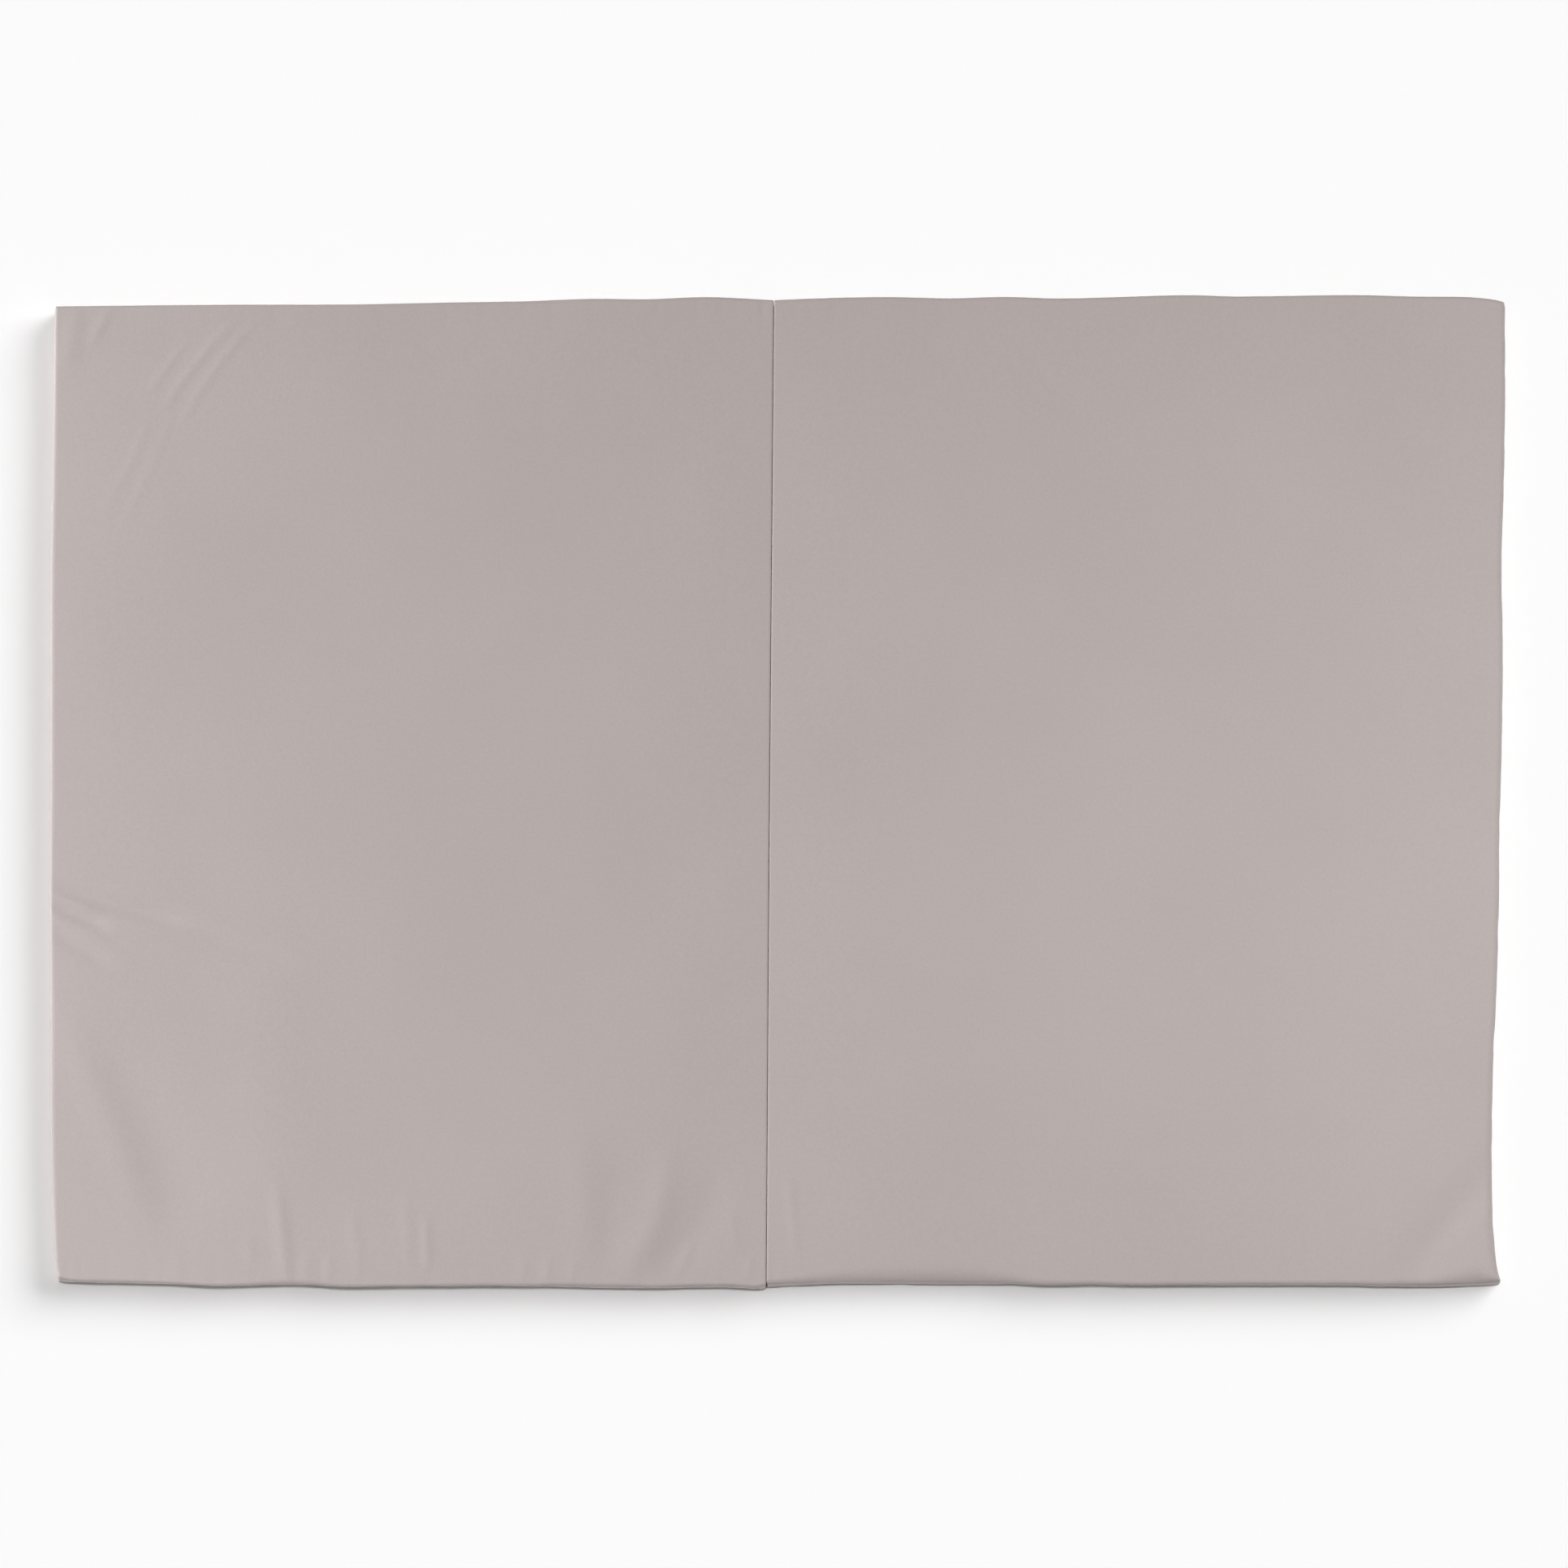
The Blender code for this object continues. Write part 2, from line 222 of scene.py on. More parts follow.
# Soft creases of the tops, in millimetres: the two ends of the middle line, how far that bends aside, how
# wide the crease spreads each side, and how high it stands, or how deep it lies where that is below zero.
Crease = namedtuple("Crease", "start end bend spread height")
CREASES = (
    # Left panel, back corner
    Crease((-452.0, 391.0), (-511.0, 316.0), -2.5, 3.4, 0.38),
    Crease((-436.0, 388.0), (-493.0, 309.0), -3.5, 3.6, 0.34),
    Crease((-493.0, 371.0), (-522.0, 332.0), -0.5, 3.0, 0.32),
    Crease((-520.0, 316.0), (-558.0, 234.0), 3.0, 3.8, 0.20),
    Crease((-503.5, 313.7), (-547.0, 214.3), 3.0, 3.4, 0.16),
    Crease((-555.0, 402.0), (-571.0, 371.0), 0.0, 4.8, 0.40),
    Crease((-583.0, 398.0), (-592.0, 350.0), 0.0, 9.0, 0.45),
    # Left panel, left edge
    Crease((-602.0, -79.0), (-498.0, -108.0), -2.5, 7.0, -2.00),
    Crease((-528.0, -104.0), (-400.0, -146.0), 0.0, 8.0, -0.80),
    Crease((-600.0, -88.0), (-562.0, -103.0), 0.0, 5.0, 0.80),
    Crease((-601.0, -96.5), (-556.0, -114.0), 0.0, 5.5, -1.80),
    Crease((-600.0, -106.5), (-556.0, -125.0), 0.0, 5.0, 0.70),
    Crease((-600.0, -120.0), (-553.0, -145.0), 0.0, 6.0, -1.10),
    # Left panel, front corner
    Crease((-588.0, -196.0), (-521.0, -357.0), 4.0, 16.0, 0.95),
    Crease((-549.0, -222.0), (-486.0, -356.0), 3.0, 29.0, -1.35),
    Crease((-425.0, -140.0), (-409.0, -352.0), 0.0, 40.0, 1.45),
    # Left panel, front edge
    Crease((-413.6, -332.0), (-405.6, -409.0), 1.0, 6.0, 0.80),
    Crease((-437.0, -372.0), (-433.0, -396.0), 0.0, 4.0, 0.25),
    Crease((-351.3, -350.4), (-344.0, -407.2), 0.0, 5.0, 0.35),
    Crease((-307.2, -340.2), (-304.5, -397.7), 0.0, 5.0, 0.30),
    Crease((-291.1, -357.1), (-288.4, -399.1), 0.0, 3.5, 0.60),
    Crease((-164.0, -283.0), (-161.0, -384.2), 0.0, 14.0, 0.60),
    Crease((-131.0, -305.0), (-143.0, -394.3), 0.0, 13.0, -0.42),
    Crease((-92.0, -305.0), (-125.0, -402.0), 7.5, 13.0, 1.32),
    Crease((-50.0, -318.0), (-98.0, -403.0), 8.0, 16.0, -1.00),
    Crease((-72.0, -377.4), (-84.0, -403.0), 0.0, 4.5, 0.48),
    Crease((-38.7, -350.4), (-36.0, -384.2), 0.0, 4.0, 0.30),
    Crease((-495.0, -388.0), (-497.0, -408.0), 0.0, 3.6, 0.28),
    Crease((-387.5, -388.0), (-389.5, -408.0), 0.0, 3.6, 0.25),
    Crease((-369.5, -388.0), (-371.5, -408.0), 0.0, 3.6, 0.30),
    Crease((-210.5, -388.0), (-212.5, -408.0), 0.0, 3.6, 0.30),
    Crease((-189.5, -388.0), (-191.5, -408.0), 0.0, 3.6, 0.35),
    Crease((-167.5, -388.0), (-169.5, -408.0), 0.0, 3.6, 0.32),
    Crease((-24.0, -388.0), (-26.0, -408.0), 0.0, 3.6, 0.35),
    # Right panel
    Crease((7.5, -321.3), (14.2, -387.6), 0.0, 4.0, 0.35),
    Crease((561.9, -248.9), (461.4, -357.1), 0.0, 25.0, 0.60),
    Crease((604.0, -296.0), (512.0, -408.0), 0.0, 19.0, -2.30),
    Crease((581.0, -349.0), (543.0, -389.0), 0.0, 8.0, 0.55),
)

# The slack of the cloth over the filling. Gentle waves cross a whole top and fade out beside its seams. Each
# is turned and shifted from the one before, in radians, and longer by a share of the first.
WAVE_COUNT = 7
WAVE_LENGTH = 90.0
WAVE_GROWTH = 0.31
WAVE_FIRST_TURN = 0.3
WAVE_TURN = 2.4
WAVE_SHIFT = 1.9
WAVE_HEIGHT = 0.22
WAVE_REACH = 15.0

# Small puckers of the tops lie along their seams, deepest a little way in. Ripples pull the boxing strip in
# between its seams, out of step with the puckers.
PUCKER_LENGTHS = (11.0, 17.5, 29.0)
PUCKER_DEPTH = 0.35
PUCKER_REACH = 7.0
PUCKER_AT_SEAM = 0.35
RIPPLE_LENGTHS = (31.0, 47.0, 83.0)
RIPPLE_DEPTH = 0.5
RIPPLE_STEP = 2

# How finely the tops are divided, and how much closer the rows lie beside a seam, within this reach. The
# spacing is worked out over the fine steps.
ACROSS = 238
ALONG = 316
SEAM_ROWS = 3.2
SEAM_ROWS_REACH = 9.0
FINE_STEPS = 4000

# The angle between two faces, in degrees, from which the edge that they share looks sharp.
SHARP_ANGLE = 55

# The underside's edge, from its upper face to its lower one: how far it stands out, and its height. The cut
# edge, which the flat size goes by, lies a little outside the rim of the faces.
SHEET_EDGE = ((0.25, 1.38), (0.40, 1.05), (0.43, 0.70), (0.35, 0.32), (0.12, 0.08))
SHEET_CUT_EDGE = 0.4
SHEET_ACROSS = 70
SHEET_ALONG = 100
FOLD_CREASE = 0.4
FOLD_CREASE_WIDTH = 2.5

# Colours, linear
COVER_COLOUR = (0.438, 0.3845, 0.374)
UNDERSIDE_COLOUR = (0.425, 0.373, 0.362)
FLOOR_COLOUR = (0.9, 0.9, 0.9, 1)
SURROUND_COLOUR = (0.965, 0.965, 0.965, 1)

# The faux leather's tone: wide clouds and a fine speckle, each with the range of its noise that is used and
# the tones that it gives, and the painted shade at the bottom of a seam.
CLOUDS = {"Scale": 5.5, "Detail": 3.0, "Roughness": 0.55}
CLOUD_RANGE = (0.3, 0.7)
CLOUD_TONES = (0.982, 1.018)
SPECKLE = {"Scale": 420.0, "Detail": 2.0}
SPECKLE_RANGE = (0.25, 0.75)
SPECKLE_TONES = (0.97, 1.03)
PAINTED_SEAM_SHADE_TONE = 0.82

# Its sheen, which the same speckle makes uneven.
COVER_ROUGHNESS = 0.6
UNDERSIDE_ROUGHNESS = 0.65
ROUGHNESS_RANGE = (0.3, 0.7)
ROUGHNESS_CHANGE = 0.05
SPECULAR_LEVEL = 0.35

# Its surface: a pebbled grain over a slight slackness, with depths in metres.
PEBBLE_SCALE = 1100.0
GRAIN_STRENGTH = 0.4
COVER_GRAIN = 0.00012
UNDERSIDE_GRAIN = 0.0001
SLACK = {"Scale": 160.0, "Detail": 4.0, "Roughness": 0.5}
SLACK_STRENGTH = 0.35
SLACK_DEPTH = 0.0002

# The floor and what surrounds it, in metres, and how bright the surround's light is.
FLOOR_HALF = 45.0
FLOOR_LEVEL = -0.0001
SURROUND_RADIUS = 40.0
SURROUND_LIGHT = 0.24

# The camera, in metres and degrees, with its sensor in millimetres. The frame's width is that at the target.
CAMERA_TARGET = (0.0035, 0.004, 0.030)
CAMERA_TILT = 8
CAMERA_DISTANCE = 12.0
FRAME_WIDTH = 1.29347
SENSOR_WIDTH = 36
CAMERA_REACH = 200

# The two ends of an edge, as shares of it, and a panel's corners, as pairs of its edges, which are numbered
# left, right, front and back.
ENDS = np.array((0.0, 1.0))
CORNERS = ((0, 2), (0, 3), (1, 2), (1, 3))

# A distance that no edge reaches, in millimetres, a length that stands in for none, and a millimetre in
# metres.
FAR = 1000.0
TINY = 1e-9
MM = 0.001


def smooth_line(xs, ys, x):
    """The value at x of a smooth line through the points: a cubic between two, sloped by their neighbours."""
    order = np.arange(len(xs))
    low = np.maximum(order - 1, 0)
    high = np.minimum(order + 1, len(xs) - 1)
    slope = (ys[high] - ys[low]) / (xs[high] - xs[low])
    i = np.clip(np.searchsorted(xs, x, side="right") - 1, 0, len(xs) - 2)
    step = xs[i + 1] - xs[i]
    t = (x - xs[i]) / step
    from_first = (ys[i] * (1 + 2 * t) + slope[i] * step * t) * (1 - t) ** 2
    from_last = (ys[i + 1] * (3 - 2 * t) + slope[i + 1] * step * (t - 1)) * t**2
    return from_first + from_last


class StrayingEdge:
    """One outer edge of a panel, from its left or back corner to the other."""

    wall_share = 1.0

    def __init__(self, start, end, rows, outward):
        self.start = np.array(start)
        self.end = np.array(end)
        distance, stray, shoulder, *overhang = np.array(rows, float).T
        self.rows = (distance, stray, shoulder)
        self.overhang = overhang[0] if overhang else np.zeros(len(distance))
        line = (self.end - self.start) / np.linalg.norm(self.end - self.start)
        self.out = np.array((line[1], -line[0]))
        if self.out @ np.array(outward) < 0:
            self.out = -self.out

    def at(self, share):
        """The seam's place and the shoulder's width at these shares of the edge."""
        distance, stray, shoulder = self.rows
        along = share * distance[-1]
        straight = self.start + share[..., None] * (self.end - self.start)
        out = smooth_line(distance, stray, along)[..., None] * self.out
        return straight + out, smooth_line(distance, shoulder, along)

    def at_base(self):
        """The same edge where the boxing meets the underside."""
        base = copy.copy(self)
        base.rows = (self.rows[0], self.rows[1] - self.overhang, self.rows[2])
        return base


class FoldEdge:
    """The edge of a panel beside the fold: a bowed line, half of the fold's gap away from its middle."""

    wall_share = FOLD_WALL_SHARE

    def __init__(self, side, jut):
        self.out = np.array((-side, 0.0))
        self.aside = side * FOLD_GAP / 2
        self.back = np.array(BACK_FOLD)
        self.front = np.array(FRONT_FOLD) - (0, jut)

    def at(self, share):
        """The fold's place and its shoulder's width at these shares, from back to front."""
        straight = self.back + share[..., None] * (self.front - self.back)
        aside = self.aside - FOLD_BOW * np.sin(math.pi * share)
        place = straight + aside[..., None] * np.array((1.0, 0.0))
        return place, np.full(share.shape, FOLD_SHOULDER)

    def at_base(self):
        """The fold has the same place where the boxing meets the underside."""
        return self


def shoulder_drop(distance, width):
    """How far a rounded shoulder of this width has fallen, this far inside the seam."""
    left = 1 - np.clip(distance / width, 0, 1)
    return width * SHOULDER_DROP * (1 - np.sqrt(1 - left * left))


def crease_height(place):
    """What the creases add to the top's height."""
    height = np.zeros(place.shape[:-1])
    for crease in CREASES:
        start, end = np.array(crease.start), np.array(crease.end)
        middle, half = (start + end) / 2, (end - start) / 2
        size = np.linalg.norm(half)
        away = place - middle
        along = away @ half / size**2
        aside = (away @ np.array((-half[1], half[0]))) / size - crease.bend * (1 - along**2)
        height += crease.height * np.exp(-(along**4) - (aside / crease.spread) ** 2)
    return height


def wave_height(place):
    """The gentle unevenness of the tops: a few long waves in turned directions."""
    height = np.zeros(place.shape[:-1])
    for i in range(WAVE_COUNT):
        angle = WAVE_TURN * i + WAVE_FIRST_TURN
        length = WAVE_LENGTH * (1 + WAVE_GROWTH * i)
        way = place @ np.array((math.cos(angle), math.sin(angle)))
        height += np.sin(way * 2 * math.pi / length + WAVE_SHIFT * i)
    return height * WAVE_HEIGHT / WAVE_COUNT


def uneven_row(along, phase, lengths):
    """An uneven row of soft bumps along a seam, each from 0 to about 1."""
    waves = [np.sin(along * 2 * math.pi / length + phase * (k + 1)) for k, length in enumerate(lengths)]
    return np.clip(sum(waves) / len(lengths), 0, 1)


def alongs(place):
    """How far along each edge the places lie: the left and right ones, then the front and back ones."""
    x, y = place[..., 0], place[..., 1]
    return (y, y, x, x)


def corner_pull(distances, inward, radius):
    """Moves that round the corners: each place's way in from the sharp corner's two edges."""
    moves = np.zeros(distances[0].shape + (2,))
    for a, b in CORNERS:
        near = np.minimum(distances[a], distances[b])
        beyond = np.maximum(distances[a], distances[b]) - near
        arc = np.maximum(radius - near, TINY)
        turn = np.clip(1 - beyond / arc, 0, 1) * math.pi / 4
        across = arc * (1 - np.cos(turn))
        along = np.where(turn > 0, arc * (1 - np.sin(turn)) - beyond, 0)
        a_near = distances[a] < distances[b]
        moves += np.where(a_near, across, along)[..., None] * inward[a]
        moves += np.where(a_near, along, across)[..., None] * inward[b]
    return moves


class PanelShape:
    """A panel's shape over u, left to right, and v, front to back."""

    def __init__(self, front, back, left, right, phase):
        self.edges = (left, right, front, back)
        self.phase = phase

    def at_base(self):
        """The panel's shape where it meets the underside."""
        left, right, front, back = (edge.at_base() for edge in self.edges)
        return PanelShape(front, back, left, right, self.phase)

    def plan(self, u, v):
        """The places of (u, v) in plan, how far inside each edge they lie, and the shoulders' widths.

        Places are blended between front and back, and between left and right, less what both have in common.
        """
        left, right, front, back = self.edges
        front_place, front_shoulder = front.at(u)
        back_place, back_shoulder = back.at(u)
        left_place, left_shoulder = left.at(1 - v)
        right_place, right_shoulder = right.at(1 - v)
        front_ends, back_ends = front.at(ENDS)[0], back.at(ENDS)[0]
        u, v = u[..., None], v[..., None]
        front_line = front_ends[0] + u * (front_ends[1] - front_ends[0])
        back_line = back_ends[0] + u * (back_ends[1] - back_ends[0])
        place = front_place + v * (back_place - front_place)
        place = place + left_place + u * (right_place - left_place)
        place = place - front_line - v * (back_line - front_line)
        places = (left_place, right_place, front_place, back_place)
        distances = [np.linalg.norm(place - edge_place, axis=-1) for edge_place in places]
        return place, distances, (left_shoulder, right_shoulder, front_shoulder, back_shoulder)

    def top(self, u, v):
        """The places of (u, v) on the top, in millimetres, with their plan and distances from the edges."""
        place, distances, shoulders = self.plan(u, v)
        drops = [shoulder_drop(distance, width) for distance, width in zip(distances, shoulders)]
        drop = sum(one**CORNER_POWER for one in drops) ** (1 / CORNER_POWER)
        crown = math.prod(1 - np.exp(-distance / CROWN_REACH) for distance in distances)
        height = THICKNESS + CROWN * crown + crease_height(place) - drop
        inside = math.prod(1 - np.exp(-distance / WAVE_REACH) for distance in distances)
        height += wave_height(place) * inside
        rows = zip(self.edges, distances, alongs(place))
        for number, (edge, distance, along) in enumerate(rows):
            pucker = uneven_row(along, self.phase + number, PUCKER_LENGTHS) * edge.wall_share
            rise = distance / PUCKER_REACH
            height -= PUCKER_DEPTH * pucker * np.exp(-rise) * (PUCKER_AT_SEAM + rise)
        inward = [-edge.out for edge in self.edges]
        rounded = place + corner_pull(distances, inward, TOP_CORNER)
        return np.concatenate([rounded, height[..., None]], axis=-1), place, distances


def shares(count, length):
    """Shares along an edge of this length, closer together near both of its ends."""
    fine = np.linspace(0, 1, FINE_STEPS + 1)
    closer = np.exp(-fine * length / SEAM_ROWS_REACH) + np.exp(-(1 - fine) * length / SEAM_ROWS_REACH)
    passed = np.concatenate([[0], np.cumsum(1 + SEAM_ROWS * closer)[:-1]])
    return np.interp(np.linspace(0, 1, count + 1), passed / passed[-1], fine)


def rim_order(across, along):
    """The rim's points of an (across + 1) by (along + 1) grid, counter-clockwise from its front left one."""
    front = [(i, 0) for i in range(across)]
    right = [(across, j) for j in range(along)]
    back = [(i, along) for i in range(across, 0, -1)]
    left = [(0, j) for j in range(along, 0, -1)]
    return np.array(front + right + back + left)


def grid_faces(across, along, first=0, turned=False):
    """The faces of a grid whose points are numbered from first, front row by front row."""
    i, j = np.meshgrid(np.arange(across), np.arange(along))
    corner = first + j * (across + 1) + i
    faces = np.stack([corner, corner + 1, corner + across + 2, corner + across + 1], axis=-1).reshape(-1, 4)
    return faces[:, ::-1] if turned else faces


def band_faces(upper, lower):
    """The faces between two rings of point numbers that run counter-clockwise."""
    return np.stack([upper, lower, np.roll(lower, -1), np.roll(upper, -1)], axis=-1)


def make_mesh(name, points, faces, caps=()):
    """A mesh of these points, in millimetres, with smooth faces."""
    mesh = bpy.data.meshes.new(name)
    mesh.from_pydata((points * MM).tolist(), [], faces.tolist() + [cap.tolist() for cap in caps])
    mesh.validate()
    mesh.shade_smooth()
    mesh.set_sharp_from_angle(angle=math.radians(SHARP_ANGLE))
    obj = bpy.data.objects.new(name, mesh)
    bpy.context.scene.collection.objects.link(obj)
    return obj


def make_panel(name, shape, width, depth):
    """A panel's cover: its crowned top, the grooved seam round it and the boxing strip below."""
    u, v = np.meshgrid(shares(ACROSS, width), shares(ALONG, depth))
    top, plan, distances = shape.top(u, v)
    rim = rim_order(ACROSS, ALONG)
    columns, rows = rim.T
    rim_plan = plan[rows, columns]
    rim_base = shape.at_base().plan(u, v)[0][rows, columns]
    rim_top = top[rows, columns, 2]
    rim_distances = [distance[rows, columns] for distance in distances]
    inward = [-edge.out for edge in shape.edges]
    on_edges = (columns == 0, columns == ACROSS, rows == 0, rows == ALONG)
    way = np.zeros((len(rim), 2))
    ripple = np.zeros(len(rim))
    for number, (edge, on_edge, along) in enumerate(zip(shape.edges, on_edges, alongs(rim_plan))):
        way += on_edge[:, None] * edge.out * edge.wall_share
        row_of_ripples = uneven_row(along, shape.phase + RIPPLE_STEP + number, RIPPLE_LENGTHS)
        ripple = np.where(on_edge, row_of_ripples, ripple)
    wall_height = rim_top - SHEET - GAP
    points = [top.reshape(-1, 3)]
    ring = rows * (ACROSS + 1) + columns
    faces = [grid_faces(ACROSS, ALONG)]
    # Each point's share of the shade painted into the seams' grooves, more of it deeper in.
    crevice = [np.zeros(len(points[0]))]
    count = len(points[0])
    for row in WALL:
        down = row.share * wall_height + row.below
        middle = math.sin(math.pi * row.share) * RIPPLE_DEPTH
        out = way * (row.out - middle * ripple)[:, None]
        lowered = (down / wall_height)[:, None]
        rounding = corner_pull(rim_distances, inward, row.corner)
        place = rim_plan + lowered * (rim_base - rim_plan) + out + rounding
        points.append(np.column_stack([place, rim_top - down]))
        next_ring = count + np.arange(len(rim))
        faces.append(band_faces(ring, next_ring))
        crevice.append(np.full(len(rim), row.crevice))
        ring = next_ring
        count += len(rim)
    obj = make_mesh(name, np.concatenate(points), np.concatenate(faces), [ring[::-1]])
    layer = obj.data.attributes.new("crevice", "FLOAT", "POINT")
    layer.data.foreach_set("value", np.concatenate(crevice).astype(np.float32))
    return obj


def make_underside(name, left_shape, right_shape):
    """The cover's underside in one length below both panels, creased along the fold."""
    u, v = np.meshgrid(shares(SHEET_ACROSS, LEFT_PANEL_WIDTH), shares(SHEET_ALONG, PANEL_DEPTH))
    left, left_distances, _ = left_shape.plan(u, v)
    right, right_distances, _ = right_shape.plan(u, v)
    fold = (left[:, -1:] + right[:, :1]) / 2
    plan = np.concatenate([left[:, :-1], fold, right[:, 1:]], axis=1)
    across = 2 * SHEET_ACROSS
    far = np.full(u.shape, FAR)
    sides = (left_shape.edges[0], right_shape.edges[1], left_shape.edges[2], left_shape.edges[3])
    inward = [-edge.out for edge in sides]

    def join(left_half, right_half):
        return np.concatenate([left_half[:, :-1], right_half], axis=1)

    distances = [
        join(left_distances[0], far),
        join(far, right_distances[1]),
        join(left_distances[2], right_distances[2]),
        join(left_distances[3], right_distances[3]),
    ]
    plan = plan + corner_pull(distances, inward, TOP_CORNER)
    rim = rim_order(across, SHEET_ALONG)
    columns, rows = rim.T
    on_edges = (columns == 0, columns == across, rows == 0, rows == SHEET_ALONG)
    way = sum(on_edge[:, None] * edge.out for edge, on_edge in zip(sides, on_edges))
    rim_plan = plan[rows, columns]
    rim_numbers = rows * (across + 1) + columns

    upper = np.dstack([plan, np.full(plan.shape[:-1], SHEET)])
    points = [upper.reshape(-1, 3)]
    faces = [grid_faces(across, SHEET_ALONG)]
    count = len(points[0])
    ring = rim_numbers
    for out, height in SHEET_EDGE:
        points.append(np.column_stack([rim_plan + way * out, np.full(len(rim), height)]))
        next_ring = count + np.arange(len(rim))
        faces.append(band_faces(ring, next_ring))
        ring = next_ring
        count += len(rim)
    from_fold = (plan[..., 0] - fold[..., 0]) / FOLD_CREASE_WIDTH
    lower = np.dstack([plan, FOLD_CREASE * np.exp(-(from_fold**2))])
    points.append(lower.reshape(-1, 3))
    faces.append(grid_faces(across, SHEET_ALONG, first=count, turned=True))
    faces.append(band_faces(ring, count + rim_numbers))
    obj = make_mesh(name, np.concatenate(points), np.concatenate(faces))

    outline = rim_plan + way * SHEET_CUT_EDGE
    x, y = (outline * MM).T
    area = 0.5 * abs(np.sum(x * np.roll(y, -1) - y * np.roll(x, -1)))
    size = (outline.max(axis=0) - outline.min(axis=0)) * MM
    return obj, size, area


class Nodes:
    """Adds nodes to a material's tree, their inputs given as values or as the outputs of other nodes."""

    def __init__(self, tree):
        self.tree = tree

    def put(self, socket, value):
        """Links another node's output to this input, or gives the input a value."""
        if isinstance(value, bpy.types.NodeSocket):
            self.tree.links.new(value, socket)
        else:
            socket.default_value = value

    def add(self, kind, inputs, **settings):
        """A new node of this kind."""
        node = self.tree.nodes.new(kind)
        for key, value in settings.items():
            setattr(node, key, value)
        for key, value in inputs.items():
            self.put(node.inputs[key], value)
        return node

    def spread(self, value, low, high, to_low, to_high):
        """A value between low and high, spread over another range."""
        inputs = {"Value": value, "From Min": low, "From Max": high, "To Min": to_low, "To Max": to_high}
        return self.add("ShaderNodeMapRange", inputs).outputs["Result"]

    def mix(self, factor, first, second, blend_type):
        """Two colours mixed: a node that mixes colours takes them on inputs 6 and 7, and gives output 2."""
        inputs = {0: factor, 6: first, 7: second}
        return self.add("ShaderNodeMix", inputs, data_type="RGBA", blend_type=blend_type).outputs[2]


def faux_leather(name, colour, roughness, grain_depth):
    """Coated cloth with a fine pebbled grain, faintly uneven in colour and sheen, with shade painted into its
    seams.
    """
    material = bpy.data.materials.new(name)
    material.use_nodes = True
    nodes = Nodes(material.node_tree)
    shader = material.node_tree.nodes["Principled BSDF"]
    place = nodes.add("ShaderNodeTexCoord", {}).outputs["Object"]

    clouds = nodes.add("ShaderNodeTexNoise", {"Vector": place, **CLOUDS}).outputs["Fac"]
    cloud_share = nodes.spread(clouds, *CLOUD_RANGE, 0.0, 1.0)
    dark, light = [tuple(channel * factor for channel in colour) + (1.0,) for factor in CLOUD_TONES]
    clouded = nodes.mix(cloud_share, dark, light, "MIX")
    speckle = nodes.add("ShaderNodeTexNoise", {"Vector": place, **SPECKLE}).outputs["Fac"]
    speckle_tone = nodes.spread(speckle, *SPECKLE_RANGE, *SPECKLE_TONES)
    speckled = nodes.mix(1.0, clouded, speckle_tone, "MULTIPLY")
    # Shade painted into the seams: the colour darkens where the points hold more of it.
    crevice = nodes.add("ShaderNodeAttribute", {}, attribute_name="crevice").outputs["Fac"]
    seam_shade_tone = nodes.spread(crevice, 0.0, 1.0, 1.0, PAINTED_SEAM_SHADE_TONE)
    with_seam_shade = nodes.mix(1.0, speckled, seam_shade_tone, "MULTIPLY")
    uneven_roughness = nodes.spread(
        speckle, *ROUGHNESS_RANGE, roughness - ROUGHNESS_CHANGE, roughness + ROUGHNESS_CHANGE
    )

    slack = nodes.add("ShaderNodeTexNoise", {"Vector": place, **SLACK}).outputs["Fac"]
    slack_inputs = {"Height": slack, "Strength": SLACK_STRENGTH, "Distance": SLACK_DEPTH}
    slackness = nodes.add("ShaderNodeBump", slack_inputs).outputs["Normal"]
    pebbles = nodes.add("ShaderNodeTexVoronoi", {"Vector": place, "Scale": PEBBLE_SCALE}).outputs["Distance"]
    grain_inputs = {
        "Height": pebbles,
        "Strength": GRAIN_STRENGTH,
        "Distance": grain_depth,
        "Normal": slackness,
    }
    grain = nodes.add("ShaderNodeBump", grain_inputs, invert=True).outputs["Normal"]

    nodes.put(shader.inputs["Base Color"], with_seam_shade)
    nodes.put(shader.inputs["Roughness"], uneven_roughness)
    nodes.put(shader.inputs["Specular IOR Level"], SPECULAR_LEVEL)
    nodes.put(shader.inputs["Normal"], grain)
    return material


def plain_material(name, colour):
    """A matte, even surface."""
    material = bpy.data.materials.new(name)
    material.use_nodes = True
    shader = material.node_tree.nodes["Principled BSDF"]
    shader.inputs["Base Color"].default_value = colour
    shader.inputs["Roughness"].default_value = 1.0
    shader.inputs["Specular IOR Level"].default_value = 0.0
    return material


def glowing_material(name, colour):
    """An even glow, for what lies behind the floor."""
    material = bpy.data.materials.new(name)
    material.use_nodes = True
    tree = material.node_tree
    tree.nodes.clear()
    glow = tree.nodes.new("ShaderNodeEmission")
    glow.inputs["Color"].default_value = colour
    output = tree.nodes.new("ShaderNodeOutputMaterial")
    tree.links.new(glow.outputs["Emission"], output.inputs["Surface"])
    return material


